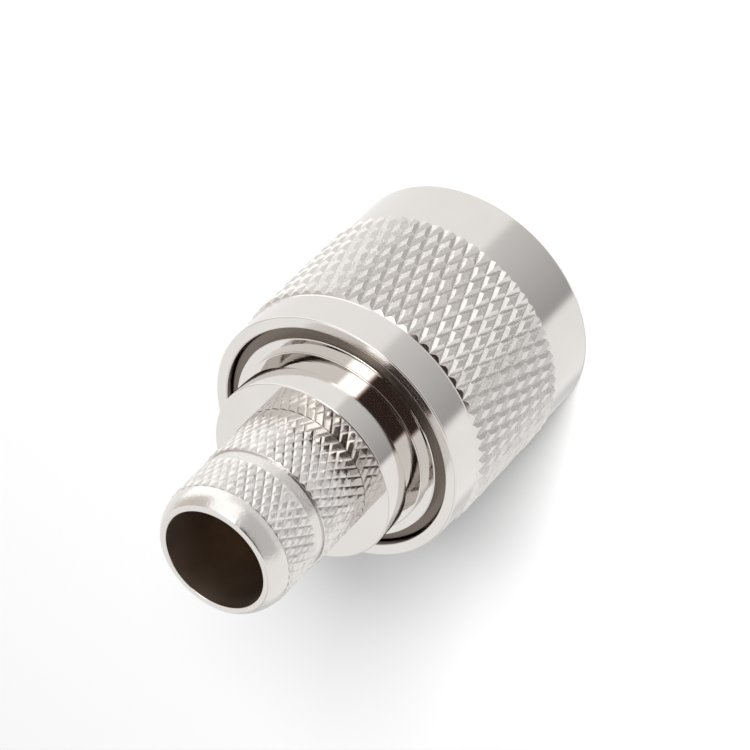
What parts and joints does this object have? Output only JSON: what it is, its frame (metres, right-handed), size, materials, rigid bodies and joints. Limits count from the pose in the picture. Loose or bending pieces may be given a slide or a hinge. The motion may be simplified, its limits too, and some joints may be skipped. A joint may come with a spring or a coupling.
{
  "type": "coaxial cable plug",
  "caption": "Straight screw-coupling coaxial plug with a diamond-knurled nut that turns on a flanged body, and a knurled crimp stem with an open bore for the cable.",
  "frame": {"origin": "centre of the coupling nut's mating face, on which the plug stands", "axes": "+Z along the plug's axis, from the mating face to the cable entry"},
  "size_m": [0.019, 0.019, 0.031],
  "materials": {
    "nickel_nut": "satin nickel plate on brass",
    "nickel_body": "bright nickel plate on brass",
    "nickel_contact": "bright nickel plate on brass",
    "spring_bronze": "plain spring bronze",
    "silicone": "matte silicone rubber",
    "white_plastic": "waxy white fluoroplastic",
    "gold_plate": "thin gold plate on brass"
  },
  "bodies": {
    "body": {"connector_body": "nickel_body", "retaining_ring": "spring_bronze", "gasket": "silicone", "outer_contact": "nickel_contact", "insulator": "white_plastic", "centre_contact": "gold_plate"},
    "nut": {"coupling_nut": "nickel_nut"}
  },
  "joints": [
    {"name": "nut_spin", "type": "hinge", "parent": "body", "child": "nut", "pos_m": [0, 0, 0.0126], "axis": [0, 0, 1], "continuous": true}
  ]
}
